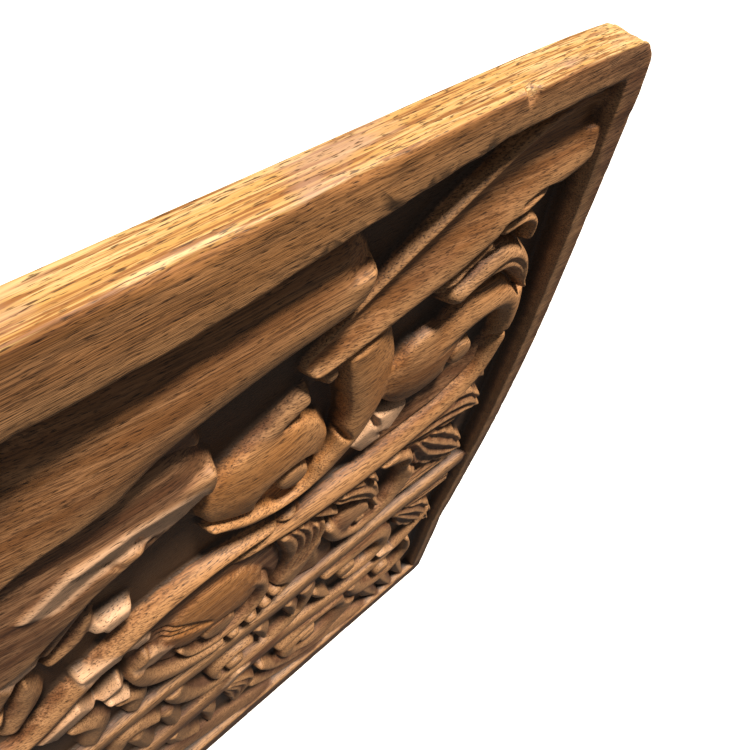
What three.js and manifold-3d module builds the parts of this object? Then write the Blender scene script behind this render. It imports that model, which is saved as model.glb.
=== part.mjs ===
// A hardwood wall panel carved in deep relief: one board, a plain raised border, and inside the
// border a sunk ground filled with scrolling stems, volutes and acanthus leaves in tiers.
//
// Frame: millimetres, +Z up. The back lies in the plane Y = 0 and the carved front looks along -Y.
// The origin is the centre of the back face.
//
// The carver's layout is measured from the top right corner of the board, in units of the board's
// thickness, so a place reads [left, down]. Widths are in the same unit, and are given as stations
// spread evenly along a route. A crown is a share of the depth of the sunk ground.

import * as THREE from 'three';
import { mergeVertices } from 'three/addons/utils/BufferGeometryUtils.js';
import Module from 'manifold-3d';

const wasm = await Module();
wasm.setup();

// Driving dimensions.
const THICKNESS = 25;
const COLUMNS = 26;
const ROWS = 37;
const WIDTH = COLUMNS * THICKNESS;
const HEIGHT = ROWS * THICKNESS;
const CORNER_RADIUS = 0.6 * THICKNESS;
const GROUND_DEPTH = 0.72 * THICKNESS;
const GROUND_Y = GROUND_DEPTH - THICKNESS;

// The sides bow out by up to BOW between the top and BOW_END. The stiles follow them, and the rails
// have their widths at stations from one top corner to the other, and from one bottom corner.
const BOW = 0.95;
const BOW_END = 27;
const STILE = 0.88;
const RAIL_WIDTHS = [0.9, 0.88, 0.82, 1.05, 1.28, 1.5, 1.5, 1.5, 1.28, 1.05, 0.82, 0.88, 0.9];
const LOW_RAIL_WIDTHS = [1.7, 1.75, 1.9, 2, 2.1, 2.1, 1.9, 1.7];
const SIDE_STEPS = 16;

// How finely the carving is faceted, and how far its foot reaches below the ground.
const STEP = 1.18 * THICKNESS;
const FEWEST_STEPS = 3;
const EYE_SIDES = 9;
const ROOT = 2;

// Half a section across a carved band, from its foot to its crown, as shares of the half width and
// of the height: a rounded band, and a leaf blade with a sharper ridge.
const BAND_SECTION = [[1, 0], [0.84, 0.74], [0.34, 1]];
const BLADE_SECTION = [[1, 0], [0.6, 0.68], [0.12, 1]];

const alongX = (left) => WIDTH / 2 - left * THICKNESS;
const alongZ = (down) => HEIGHT / 2 - down * THICKNESS;
const mirrored = (route) => route.map(([left, down]) => [COLUMNS - left, down]);

function toSolid(geometry) {
  geometry.deleteAttribute('normal');
  geometry.deleteAttribute('uv');
  const merged = mergeVertices(geometry, 1e-3);
  return new wasm.Manifold(new wasm.Mesh({
    numProp: 3,
    vertProperties: merged.attributes.position.array,
    triVerts: new Uint32Array(merged.index.array),
  }));
}

function toGeometry(solid) {
  const { vertProperties, triVerts } = solid.getMesh();
  const geometry = new THREE.BufferGeometry();
  geometry.setAttribute('position', new THREE.BufferAttribute(vertProperties, 3));
  geometry.setIndex(new THREE.BufferAttribute(triVerts, 1));
  geometry.computeVertexNormals();
  return geometry;
}

// The value at a share t of the way along evenly spread stations.
function between(stations, t) {
  const place = t * (stations.length - 1);
  const low = Math.min(Math.floor(place), stations.length - 2);
  return THREE.MathUtils.lerp(stations[low], stations[low + 1], place - low);
}

// Half the width that a band may have on one side before it folds over itself inside a bend.
function roomInBend(curve, t, side) {
  const from = Math.max(0, t - 0.03);
  const to = Math.min(1, t + 0.03);
  const before = curve.getTangentAt(from);
  const after = curve.getTangentAt(to);
  const turn = before.x * after.z - before.z * after.x;
  const inside = turn * side < 0;
  return inside ? (0.8 * curve.getLength() * (to - from)) / Math.abs(turn) : Infinity;
}

// A band of carving along a route: a cylinder bent along it, its round section changed for the
// carved one.
function band(route, widths, crown, section = BAND_SECTION) {
  const points = route.map(([left, down]) => new THREE.Vector3(alongX(left), 0, alongZ(down)));
  const curve = new THREE.CatmullRomCurve3(points, false, 'centripetal');
  const steps = Math.max(FEWEST_STEPS, Math.round(curve.getLength() / STEP));
  const ring = [...section, ...section.map(([share, rise]) => [-share, rise]).reverse()];
  const body = new THREE.CylinderGeometry(1, 1, 1, ring.length, steps);
  const position = body.attributes.position;
  for (let i = 0; i < position.count; i += 1) {
    const t = THREE.MathUtils.clamp(position.getY(i) + 0.5, 0, 1);
    const onAxis = Math.hypot(position.getX(i), position.getZ(i)) < 0.5;
    const turn = Math.atan2(position.getZ(i), position.getX(i)) / (2 * Math.PI);
    const corner = Math.round((turn + 1) * ring.length) % ring.length;
    const [share, rise] = onAxis ? [0, 0.5] : ring[corner];
    const centre = curve.getPointAt(t);
    const along = curve.getTangentAt(t);
    const half = (between(widths, t) * THICKNESS) / 2;
    const aside = share * Math.min(half, roomInBend(curve, t, share));
    const height = rise * (GROUND_DEPTH * crown + ROOT) - ROOT;
    position.setXYZ(i, centre.x + aside * along.z, GROUND_Y - height, centre.z - aside * along.x);
  }
  return toSolid(body);
}

const blade = (route, widths, crown) => band(route, widths, crown, BLADE_SECTION);

// The round eye of a volute, or a bead beside one: a boss with sloping sides.
function eye([left, down], radius, crown) {
  const height = GROUND_DEPTH * crown + ROOT;
  const outer = radius * THICKNESS;
  const boss = new THREE.CylinderGeometry(outer, 0.75 * outer, height, EYE_SIDES);
  boss.rotateX(Math.PI / 2);
  boss.translate(alongX(left), GROUND_Y + ROOT - height / 2, alongZ(down));
  return toSolid(boss);
}

// The outer band of a volute: a spiral about its eye, from a start angle, anticlockwise for
// positive turns, with its radius going from the first value to the last.
function spiral([left, down], radii, start, turns, widths, crown) {
  const points = Math.max(4, Math.round(Math.abs(turns) * 8) + 1);
  const route = Array.from({ length: points }, (_, i) => {
    const t = i / (points - 1);
    const angle = THREE.MathUtils.degToRad(start + 360 * turns * t);
    const radius = between(radii, t);
    return [left - radius * Math.cos(angle), down - radius * Math.sin(angle)];
  });
  return band(route, widths, crown);
}

// Beads cut along the rim of a volute.
function beads([left, down], rimRadius, start, end, count, radius, crown) {
  return Array.from({ length: count }, (_, i) => {
    const angle = THREE.MathUtils.degToRad(start + ((end - start) * i) / (count - 1));
    const place = [left - rimRadius * Math.cos(angle), down - rimRadius * Math.sin(angle)];
    return eye(place, radius, crown);
  });
}

// The top tier's middle: the thick rolled leaf, the broken one under it, and the volute that
// hangs from the long blade leaf.
function topTier() {
  return [
    band([[17.4, 9.4], [16.2, 6.6], [14.3, 4.5], [12.4, 3.4], [10.2, 2.85], [7.6, 2.7]],
      [1.2, 2.1, 2.5, 2.4, 2.2, 1.4], 0.86),
    band([[17.4, 10], [16, 7.6], [14.4, 6.4], [12.8, 6], [11.5, 6]], [0.8, 1.6, 2.3, 2.4, 1.5], 0.84),
    blade([[11, 6.2], [8.6, 4.9], [6, 3.7], [3.6, 2.7], [1, 1.9]], [0.5, 1, 1.6, 2.1, 2], 0.95),
    band([[7, 4.7], [6.85, 6.3], [7, 8], [8, 9.4], [9.5, 9.85], [11, 9.3], [11.6, 8.3]],
      [1.4, 1.75, 1.6, 1.1, 0.9, 0.8, 0.5], 0.9),
    band([[9.6, 5.8], [10.1, 6.8], [10.1, 7.8]], [2, 2.8, 2.8], 0.66),
    eye([9.95, 7.5], 1.7, 0.86),
    eye([9.35, 8.72], 0.6, 0.96),
    band([[3.1, 3.8], [4, 4.3], [5, 4.6]], [0.5, 0.7, 0.2], 0.85),
    band([[3.2, 3.8], [2.5, 3.7], [2, 4.1], [2.4, 4.7]], [0.4, 0.5, 0.5, 0.4], 0.85),
  ];
}

// The volute in the top corner, the strap leaf over its shoulder, and its stem, which ends as a
// second stem beside it. It is cut again, mirrored, in the other top corner.
function cornerVolute(place) {
  return [
    band(place([[6.1, 6.3], [4.5, 6], [2.9, 6.2], [1.75, 7], [1.25, 8.4], [1.5, 9.8], [2.6, 10.9],
      [4.5, 11.6]]), [0.8, 1.1, 1.4, 1.2, 1.1, 1.2, 1.4, 1.5], 0.95),
    band(place([[5.2, 6.7], [4.8, 7.6], [4.2, 8.2]]), [1.7, 2.2, 1.8], 0.85),
    eye(place([[3.45, 8.2]])[0], 0.55, 0.95),
    blade(place([[4.2, 5.2], [3, 4.9], [1.9, 5.6], [1.3, 6.8]]), [0.8, 1.1, 0.8, 0.3], 1),
  ];
}

function firstStems() {
  return [
    band([[4.2, 11.5], [6.8, 12], [9.2, 12.1], [12, 12.15]], [1.5, 1.4, 1, 0.4], 0.92),
    band([[21.6, 11.8], [18.8, 12.9], [16.2, 11.5], [14, 10.75], [12, 10.3], [10, 10.6], [8.4, 10.8]],
      [0.9, 1.2, 1.1, 1.4, 1.3, 0.7, 0.3], 0.84),
    blade([[6.7, 10.7], [6.6, 9.2]], [1.1, 0.6], 0.6),
    blade([[5.9, 10.2], [5.1, 9.4]], [1, 0.4], 0.6),
    blade([[17.9, 12.1], [17.1, 11.1], [16.7, 9.9]], [0.8, 0.9, 0.2], 0.7),
    blade([[16.9, 9.5], [15.8, 9.1], [14.9, 8.9]], [0.4, 0.7, 0.3], 0.7),
    blade([[14.9, 9.1], [14.5, 10.3]], [0.5, 0.9], 0.64),
  ];
}

// The second tier: a great volute with a beaded rim and a lesser one that holds a drooping leaf.
function secondTier() {
  const great = [12.8, 15.95];
  const lesser = [6.3, 15.3];
  return [
    band([[9.6, 12.4], [9, 13.8], [9.1, 15.2], [9.8, 16.5], [11, 17.4], [12.6, 17.8], [14.2, 17.3],
      [15.1, 16.2], [15.2, 14.7]], [1.1, 1.6, 1.6, 1.3, 1, 0.9, 0.8, 0.8, 0.5], 0.82),
    spiral(great, [1.6, 1.5, 1.7, 2.2], 160, 0.72, [0.5, 0.6, 0.7, 0.9], 0.9),
    eye([12.7, 13.8], 1.5, 0.8),
    eye(great, 0.74, 0.96),
    ...beads(great, 2.4, -75, -20, 3, 0.36, 0.95),
    band([[7, 12.3], [5.2, 13], [4.3, 14.3], [4.4, 15.8], [5.4, 16.7], [6.6, 16.9], [7.5, 16.3],
      [7.7, 15.2]], [0.8, 1.2, 1.1, 1.3, 1.1, 1, 0.9, 0.6], 0.88),
    eye([lesser[0] + 0.3, lesser[1] + 0.4], 1.1, 0.72),
    blade([[8.5, 12.3], [7.3, 13], [6.5, 13.9], [5.9, 15.1]], [0.5, 0.9, 1, 0.5], 1),
    blade([[8.6, 12.5], [8, 13.5], [7.6, 14.3]], [0.5, 0.6, 0.3], 0.8),
    blade([[8.7, 18.6], [8.7, 16.5]], [2, 0.3], 0.5),
    band([[17.7, 14.7], [17.3, 14.1], [16.7, 14]], [1, 1.1, 0.6], 0.85),
    band([[16.4, 14.8], [15.8, 14.3]], [0.9, 0.6], 0.8),
    band([[17.9, 18.3], [17.4, 16.9], [17.7, 15.8]], [0.8, 1, 0.5], 0.75),
    band([[16.3, 18.3], [16, 17.1], [16.6, 15.9]], [0.8, 0.8, 0.4], 0.75),
    blade([[15.8, 12.5], [15.3, 11.6]], [0.9, 0.7], 0.8),
    blade([[14.5, 12.4], [14.4, 11.7]], [0.6, 0.5], 0.8),
  ];
}

// The leaves that grow down the stile between the first ledge and the corner volute.
function sideLeaves(place) {
  return [
    blade(place([[5.2, 11.8], [3.3, 12.4], [1.9, 13.2], [1.2, 14.2]]), [0.8, 2, 1.7, 0.3], 0.8),
    blade(place([[3.3, 11.3], [1.8, 11.1], [1, 11.9]]), [0.9, 1.1, 0.3], 0.7),
    blade(place([[4.1, 13.2], [2.9, 14.9], [1.7, 16.5], [1.1, 18]]), [0.6, 1.9, 1.7, 0.4], 0.8),
    blade(place([[5.1, 17.4], [3.3, 17.4], [1.3, 17.9]]), [0.6, 1.3, 0.5], 0.7),
  ];
}

// The level stem that runs from border to border like a ledge, and the third tier below it.
function thirdTier() {
  return [
    band([[26.2, 19.5], [18.8, 19.2], [14, 19.4], [9.1, 19.2], [-0.2, 19.3]], [1.6, 1.7, 1.6, 1.8, 1.7], 0.94),
    band([[15.2, 20.2], [15.3, 21.8], [14.6, 23.2], [13.2, 23.9], [11.2, 23.8], [9.8, 23], [9.2, 21.6],
      [9.2, 20.2]], [0.9, 1, 1, 0.8, 0.9, 1, 1.2, 1], 0.82),
    spiral([12.9, 22.4], [1, 1.15, 1.3], 200, -0.5, [0.5, 0.6, 0.5], 0.9),
    eye([13, 22.6], 0.5, 0.9),
    blade([[11.5, 22.4], [11.3, 20.8]], [0.5, 0.8], 0.85),
    blade([[10.6, 22.4], [10.5, 20.8]], [0.5, 0.8], 0.85),
    band([[8.1, 20.9], [6.8, 20.8], [5.4, 21], [4.7, 22], [4.8, 23.2], [5.8, 23.9], [7, 23.6]],
      [0.7, 1.1, 1.2, 1.1, 0.9, 0.9, 0.8], 0.85),
    eye([7.1, 22.6], 0.6, 0.75),
    blade([[8.8, 22.6], [8.2, 24.7]], [0.9, 0.3], 0.75),
    band([[18.1, 21.8], [17.4, 21.1], [16.6, 22]], [0.8, 1, 0.5], 0.8),
    blade([[17.7, 24.7], [17.4, 22.4]], [0.9, 0.9], 0.75),
    blade([[16.3, 24.7], [16.1, 22.6]], [0.8, 0.8], 0.75),
  ];
}

function lowerSideLeaves(place) {
  return [
    blade(place([[4.1, 20.4], [2.8, 22.4], [1.8, 24.3], [1.2, 25.9]]), [0.6, 1.9, 1.5, 0.3], 0.8),
    blade(place([[3.3, 20.6], [2, 21.1], [1, 21.2]]), [0.7, 1.1, 0.6], 0.75),
  ];
}

// The lowest tier: a stem that dips between two rises, two volutes under it, and the long stems
// that sweep down to the bottom rail.
function lowestTier() {
  return [
    band([[25.8, 26.2], [19.8, 26.7], [15.3, 26.3], [12.4, 25.1], [9.7, 25.4], [6.8, 26.4], [3.9, 26.1],
      [2.3, 25.1]], [1.4, 1.5, 1.5, 1.7, 1.6, 1.5, 1.3, 0.6], 0.92),
    spiral([9, 29.7], [2.9, 2.4, 1.9, 1.3], 130, -1.1, [0.9, 1.6, 1.5, 1.3, 0.7], 0.88),
    eye([9.4, 29.4], 0.6, 0.9),
    band([[6.5, 27.5], [5.9, 29.3], [4.5, 30.4], [3.1, 30.1], [2.3, 28.7], [2.5, 27.3]],
      [0.9, 1.3, 1.3, 1.1, 0.8, 0.5], 0.86),
    eye([4.2, 28.6], 0.6, 0.85),
    band([[12.2, 28.4], [11.4, 30.7], [9.9, 32.7], [7.7, 34.1], [4.8, 35]], [0.6, 1, 1.4, 1.4, 0.7], 0.84),
    band([[13.2, 30.2], [12.2, 32.1], [10.5, 33.8], [8.1, 35.4]], [0.6, 1.3, 1.5, 0.9], 0.76),
    band([[21.2, 30], [18.2, 30.9], [15.9, 32.8], [13.8, 34.5], [11.6, 35.3]], [0.7, 1.5, 1.6, 1.4, 0.7], 0.84),
    band([[17.1, 27.6], [17.1, 29.2], [16.5, 30.5]], [0.9, 1.1, 0.6], 0.8),
    blade([[14, 27.6], [13.6, 29.2], [14.3, 30.9]], [0.7, 1.5, 0.4], 0.8),
    blade([[15.5, 27.6], [15.3, 29.4], [15.7, 30.9]], [0.5, 0.8, 0.4], 0.7),
  ];
}

function cornerBlades(place) {
  return [
    blade(place([[5.2, 30.7], [4.4, 32.9], [3.5, 35.2]]), [0.6, 1.1, 0.5], 0.7),
    blade(place([[3.9, 31.1], [3.1, 33.3], [2.4, 35.4]]), [0.6, 1, 0.5], 0.8),
    blade(place([[2.7, 30.6], [2.1, 32.9], [1.5, 35.2]]), [0.6, 0.9, 0.4], 0.75),
  ];
}

// The side that mirrors the corner volutes has its own blade leaf and low leaves, a little plainer.
function plainSide() {
  return [
    blade([[18.8, 4.1], [20.8, 3.1], [22.7, 2.5], [24.6, 1.9]], [0.6, 1.6, 2.2, 2], 0.9),
    spiral([21.1, 22.8], [2.4, 2, 1.3], 100, 0.9, [0.9, 1.2, 1.1, 0.7], 0.85),
    eye([21.1, 22.8], 0.6, 0.9),
    spiral([21, 15.5], [2.3, 1.9, 1.2], 60, 0.95, [0.9, 1.2, 1.1, 0.7], 0.85),
    eye([21, 15.5], 0.6, 0.9),
    spiral([20.6, 32.9], [2, 1.6, 1], 100, 0.8, [0.9, 1.1, 1, 0.6], 0.85),
    eye([20.6, 32.9], 0.5, 0.85),
  ];
}

// How far a side lies from the middle of the board at a height, with a margin left beside it.
function sideAt(down, margin) {
  const bow = BOW * Math.sin(Math.PI * THREE.MathUtils.clamp(down / BOW_END, 0, 1)) ** 1.2;
  return WIDTH / 2 + (bow - margin) * THICKNESS;
}

// The heights at which a side is drawn, between two distances from the top.
const heights = (from, to) => Array.from(
  { length: SIDE_STEPS + 1 },
  (_, i) => from + ((to - from) * i) / SIDE_STEPS,
);

function boardBlank() {
  const x = WIDTH / 2 - CORNER_RADIUS;
  const z = HEIGHT / 2 - CORNER_RADIUS;
  const corner = CORNER_RADIUS / THICKNESS;
  const sides = heights(2 * corner, ROWS - 2 * corner);
  const outline = new THREE.Shape();
  outline.absarc(x, z, CORNER_RADIUS, 0, Math.PI / 2);
  outline.absarc(-x, z, CORNER_RADIUS, Math.PI / 2, Math.PI);
  sides.forEach((down) => outline.lineTo(-sideAt(down, 0), alongZ(down)));
  outline.absarc(-x, -z, CORNER_RADIUS, Math.PI, 1.5 * Math.PI);
  outline.absarc(x, -z, CORNER_RADIUS, 1.5 * Math.PI, 2 * Math.PI);
  sides.reverse().forEach((down) => outline.lineTo(sideAt(down, 0), alongZ(down)));
  const blank = new THREE.ExtrudeGeometry(outline, {
    depth: THICKNESS,
    bevelEnabled: false,
    curveSegments: 5,
  });
  blank.rotateX(Math.PI / 2);
  return toSolid(blank);
}

// The space inside the border, down to a depth below the front.
function insideBorder(depth) {
  const railAt = (left) => between(RAIL_WIDTHS, left / COLUMNS);
  const lowRailAt = (left) => between(LOW_RAIL_WIDTHS, left / COLUMNS);
  const across = RAIL_WIDTHS.map((_, i) => STILE
    + ((COLUMNS - 2 * STILE) * i) / (RAIL_WIDTHS.length - 1));
  const sides = heights(2 * railAt(0), ROWS - 1.5 * lowRailAt(0));
  const outline = new THREE.Shape([
    ...across.map((left) => new THREE.Vector2(alongX(left), alongZ(railAt(left)))),
    ...sides.map((down) => new THREE.Vector2(-sideAt(down, STILE), alongZ(down))),
    ...across.reverse().map((left) => new THREE.Vector2(alongX(left), alongZ(ROWS - lowRailAt(left)))),
    ...sides.reverse().map((down) => new THREE.Vector2(sideAt(down, STILE), alongZ(down))),
  ]);
  const space = new THREE.ExtrudeGeometry(outline, { depth, bevelEnabled: false });
  space.rotateX(Math.PI / 2);
  space.translate(0, depth - THICKNESS, 0);
  return toSolid(space);
}

// The outer skin alone, so that no sliver of air stays shut in where bands cross.
function outerShell(solid) {
  return solid.decompose().reduce((best, shell) => (shell.volume() > best.volume() ? shell : best));
}

function carvedPanel() {
  const asDrawn = (route) => route;
  const carving = [
    ...topTier(),
    ...firstStems(),
    ...secondTier(),
    ...thirdTier(),
    ...lowestTier(),
    ...plainSide(),
    ...[asDrawn, mirrored].flatMap((place) => [
      ...cornerVolute(place),
      ...sideLeaves(place),
      ...lowerSideLeaves(place),
      ...cornerBlades(place),
    ]),
  ].reduce((whole, piece) => whole.add(piece));
  const held = carving.intersect(insideBorder(GROUND_DEPTH + ROOT));
  const carved = boardBlank().subtract(insideBorder(GROUND_DEPTH)).add(held);
  return toGeometry(outerShell(carved));
}

const teak = new THREE.MeshStandardMaterial({ color: 0x8a5f3a, roughness: 0.62, metalness: 0 });
const panel = new THREE.Mesh(carvedPanel(), teak);
panel.name = 'carved_panel';

const wallPanel = new THREE.Group();
wallPanel.name = 'wall_panel';
wallPanel.add(panel);

export default wallPanel;
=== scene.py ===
"""Looks of a carved hardwood wall panel: scrolls, volutes and acanthus leaves in deep relief."""

import math

import bmesh
import bpy
import numpy as np
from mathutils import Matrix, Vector


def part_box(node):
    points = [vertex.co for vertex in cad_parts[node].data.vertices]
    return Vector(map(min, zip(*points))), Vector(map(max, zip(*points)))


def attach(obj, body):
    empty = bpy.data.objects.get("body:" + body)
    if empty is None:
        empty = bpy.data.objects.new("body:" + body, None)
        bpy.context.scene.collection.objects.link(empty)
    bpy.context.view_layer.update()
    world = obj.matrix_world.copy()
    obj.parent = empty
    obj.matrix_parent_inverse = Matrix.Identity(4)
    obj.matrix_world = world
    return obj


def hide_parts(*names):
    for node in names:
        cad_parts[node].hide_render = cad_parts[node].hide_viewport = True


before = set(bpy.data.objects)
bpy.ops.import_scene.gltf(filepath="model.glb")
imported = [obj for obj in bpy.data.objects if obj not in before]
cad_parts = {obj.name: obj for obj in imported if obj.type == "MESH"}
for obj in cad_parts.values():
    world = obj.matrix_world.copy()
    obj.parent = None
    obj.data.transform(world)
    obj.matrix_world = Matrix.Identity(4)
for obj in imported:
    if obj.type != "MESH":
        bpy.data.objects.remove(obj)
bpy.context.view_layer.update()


# ---------------------------------------------------------------------------------------------
# The camera: held close above the top edge, a hand's breadth in front of the panel, and looking
# steeply down along the carving towards the lower right corner.
# ---------------------------------------------------------------------------------------------
CAMERA_PLACE = (0.0101, -0.1565, 0.6020)
CAMERA_TURN = (33.499, -4.121, -40.333)
CAMERA_LENS = 28.62

camera_data = bpy.data.cameras.new("camera")
camera_data.lens = CAMERA_LENS
camera_data.sensor_width = 36
camera_data.clip_start = 0.01
camera = bpy.data.objects.new("camera", camera_data)
camera.location = CAMERA_PLACE
camera.rotation_euler = [math.radians(turn) for turn in CAMERA_TURN]
bpy.context.scene.collection.objects.link(camera)
bpy.context.scene.camera = camera


# ---------------------------------------------------------------------------------------------
# The board: one plank of teak with its grain lying level and its sides bowed out above their
# middle. The layout is measured from its top right corner, left and down, in units of its
# thickness, and heights in the carving are shares of the depth of the sunk ground.
# ---------------------------------------------------------------------------------------------
low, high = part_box("carved_panel")
THICK = high.y - low.y
BOW = 0.95
BOW_END = 27.0
COLUMNS = (high.x - low.x) / THICK - 2 * BOW
ROWS = (high.z - low.z) / THICK
RIGHT = high.x - BOW * THICK
GROUND_DEPTH = 0.72 * THICK
CORNER_RADIUS = 0.6
CELL = 0.001

# The layout runs on past the outline by the board's thickness, for its rim, and a little further
# where the sides bow out.
RIM = 1.0
CELL_SHARE = CELL / THICK
FAR_LEFT = COLUMNS + RIM + BOW
FAR_DOWN = ROWS + RIM
across = int(round((COLUMNS + 2 * (RIM + BOW)) / CELL_SHARE))
upward = int(round((ROWS + 2 * RIM) / CELL_SHARE))
left, down = np.meshgrid(
    np.linspace(FAR_LEFT, -RIM - BOW, across + 1), np.linspace(FAR_DOWN, -RIM, upward + 1)
)
bow = BOW * np.sin(np.pi * np.clip(down / BOW_END, 0, 1)) ** 1.2

rise = np.zeros_like(left)       # height above the ground
# This holds each form's colour, and painted light and painted shade are added into it further on.
tone_and_painted_light = np.zeros_like(left)       # from dark and greyed (-1) to golden (+1)
fresh = np.zeros_like(left)      # bare wood where a splinter broke away


# ---------------------------------------------------------------------------------------------
# The border: rails and stiles left standing to the full thickness round the sunk ground. The top
# rail is cut narrow near the corners, and the inner edges wander as the gouge leaves them.
# ---------------------------------------------------------------------------------------------
STILE = 0.88
RAIL_WIDTHS = (0.9, 0.88, 0.82, 1.05, 1.28, 1.5, 1.5, 1.5, 1.28, 1.05, 0.82, 0.88, 0.9)
LOW_RAIL_WIDTHS = (1.7, 1.75, 1.9, 2.0, 2.1, 2.1, 1.9, 1.7)
WOBBLE = 0.05
WALL = 0.08                      # how far each wall leans from its foot to its top
OCTAVES_WEIGH = 1.75             # the shares of three octaves of waves, added up


def stations(values, share):
    """Values spread evenly along a route, read at a share of it."""
    return np.interp(share, np.linspace(0, 1, len(values)), values)


def noise(seed, along, over, octaves=3):
    """Seeded uneven waves from -1 to 1, each along thicknesses long and over thicknesses high."""
    total = np.zeros_like(left)
    weight = 1.0
    for octave in range(octaves):
        u = (left[0] + RIM + BOW) / along * 2 ** octave
        v = (down[:, 0] + RIM) / over * 2 ** octave
        shape = (int(v.max()) + 2, int(u.max()) + 2)
        lattice = np.random.default_rng(seed + octave).uniform(-1, 1, shape)
        iu, iv = u.astype(int), v.astype(int)
        fu, fv = u - iu, v - iv
        fu, fv = fu * fu * (3 - 2 * fu), (fv * fv * (3 - 2 * fv))[:, None]
        above = lattice[iv][:, iu] * (1 - fu) + lattice[iv][:, iu + 1] * fu
        below = lattice[iv + 1][:, iu] * (1 - fu) + lattice[iv + 1][:, iu + 1] * fu
        total += weight * (above * (1 - fv) + below * fv)
        weight *= 0.5
    return total / OCTAVES_WEIGH


def smooth(low_value, high_value, value):
    """0 below the low value, 1 above the high one, and an S-curve between them."""
    t = np.clip((value - low_value) / (high_value - low_value), 0, 1)
    return t * t * (3 - 2 * t)


rail = np.where(down < ROWS / 2, stations(RAIL_WIDTHS, left / COLUMNS),
                stations(LOW_RAIL_WIDTHS, left / COLUMNS))
to_rail = np.minimum(down, ROWS - down) - rail + WOBBLE * noise(11, 2.0, 9.0)
to_stile = np.minimum(left, COLUMNS - left) + bow - STILE + WOBBLE * noise(12, 9.0, 1.6)
inner = np.minimum(to_rail, to_stile)
border = smooth(WALL, -0.02, inner)


# ---------------------------------------------------------------------------------------------
# Top tier: a thick rolled leaf under the rail, a broken one beneath it, a long blade leaf that
# runs up into the corner, and the volute that hangs from it. They rise towards their lower edges.
# ---------------------------------------------------------------------------------------------
TRENCH = 0.13                    # a narrow trench parts each band from what it crosses
TRENCH_CUT = 0.75                # and takes this share of the height there
SCALLOP = 0.2                    # how deep the edge of an acanthus leaf is notched
SWELL = 0.7                      # a wall swells out above its foot by this power of its height
HOLLOW_WALL = 0.13               # how far the wall of a hollow leans in
OVER_ALL = 1.1                   # higher than anything that stands
EYE_CUT = 0.7                    # the groove round an eye takes this share of the height
EYE_FOOT, EYE_DOME = 0.82, 0.18  # an eye's height at its edge, and what its dome adds
MOUND_ROUND = 0.75               # a mound's dome is this power of a paraboloid
SHORTEST = 0.05                  # a route so short that its cut is round
ROUTE_STEP = 0.14

# A profile is the heights across a band, from the left hand of its route to the right, as shares
# of its crown.
ROUND = (0.4, 0.68, 0.86, 0.97, 1.0, 0.97, 0.86, 0.68, 0.4)
ROLLED = (0.12, 0.4, 0.6, 0.76, 0.9, 1.0, 0.96, 0.6)
BLADE = (0.4, 0.74, 0.5, 0.42, 0.44, 0.5, 0.58, 0.68, 0.8, 0.91, 0.98, 0.95, 0.6)


def curve_points(route):
    """A smooth line through the places of a route, at even steps, and each point's share of it."""
    knots = np.array(route, float)
    knots = np.vstack([2 * knots[0] - knots[1], knots, 2 * knots[-1] - knots[-2]])
    points = []
    for before, start, end, after in zip(knots, knots[1:], knots[2:], knots[3:]):
        count = max(2, int(np.linalg.norm(end - start) / ROUTE_STEP))
        t = np.linspace(0, 1, count, endpoint=False)[:, None]
        points.append(0.5 * (2 * start + (end - before) * t
                             + (2 * before - 5 * start + 4 * end - after) * t ** 2
                             + (3 * start - before - 3 * end + after) * t ** 3))
    points.append(knots[-2][None])
    points = np.vstack(points)
    run = np.concatenate([[0], np.cumsum(np.linalg.norm(np.diff(points, axis=0), axis=1))])
    return points, run / run[-1]


def window_of(lowest, highest):
    """The cells of the board between two places."""
    i0 = max(0, int((FAR_LEFT - highest[0]) / CELL_SHARE))
    i1 = max(0, int((FAR_LEFT - lowest[0]) / CELL_SHARE) + 2)
    j0 = max(0, int((FAR_DOWN - highest[1]) / CELL_SHARE))
    j1 = max(0, int((FAR_DOWN - lowest[1]) / CELL_SHARE) + 2)
    return slice(j0, j1), slice(i0, i1)


def follow(route, widths, margin):
    """The window of the board near a route, with each cell's share along it, its offset across
    in half widths (negative on the left hand) and its depth inside the band's edge."""
    points, share = curve_points(route)
    halves = stations(widths, share) / 2
    reach = halves.max() + margin
    window = window_of(points.min(axis=0) - reach, points.max(axis=0) + reach)
    x, y = left[window], down[window]
    inside = np.full(x.shape, -9.0)
    along = np.zeros(x.shape)
    offset = np.full(x.shape, 9.0)
    for k in range(len(points) - 1):
        start, end = points[k], points[k + 1]
        step = end - start
        local = max(halves[k], halves[k + 1]) + margin
        part = window_of(np.minimum(start, end) - local, np.maximum(start, end) + local)
        part = tuple(
            slice(max(0, cells.start - whole.start), max(0, cells.stop - whole.start))
            for cells, whole in zip(part, window)
        )
        px, py = x[part] - start[0], y[part] - start[1]
        if not px.size:
            continue
        t = np.clip((px * step[0] + py * step[1]) / (step @ step), 0, 1)
        away = np.hypot(px - t * step[0], py - t * step[1])
        half = halves[k] + (halves[k + 1] - halves[k]) * t
        depth = half - away
        hand = np.sign(step[1] * px - step[0] * py)
        nearer = depth > inside[part]
        inside[part] = np.where(nearer, depth, inside[part])
        along[part] = np.where(nearer, share[k] + (share[k + 1] - share[k]) * t, along[part])
        offset[part] = np.where(nearer, hand * away / np.maximum(half, 1e-4), offset[part])
    return window, along, offset, inside


def leave(window, height, colour, bare=0.0):
    """Let wood of a height and colour stand where it is higher than what is there."""
    wins = height > rise[window]
    rise[window] = np.where(wins, height, rise[window])
    tone_and_painted_light[window] = np.where(wins, colour, tone_and_painted_light[window])
    fresh[window] = np.where(wins, bare, fresh[window])


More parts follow.
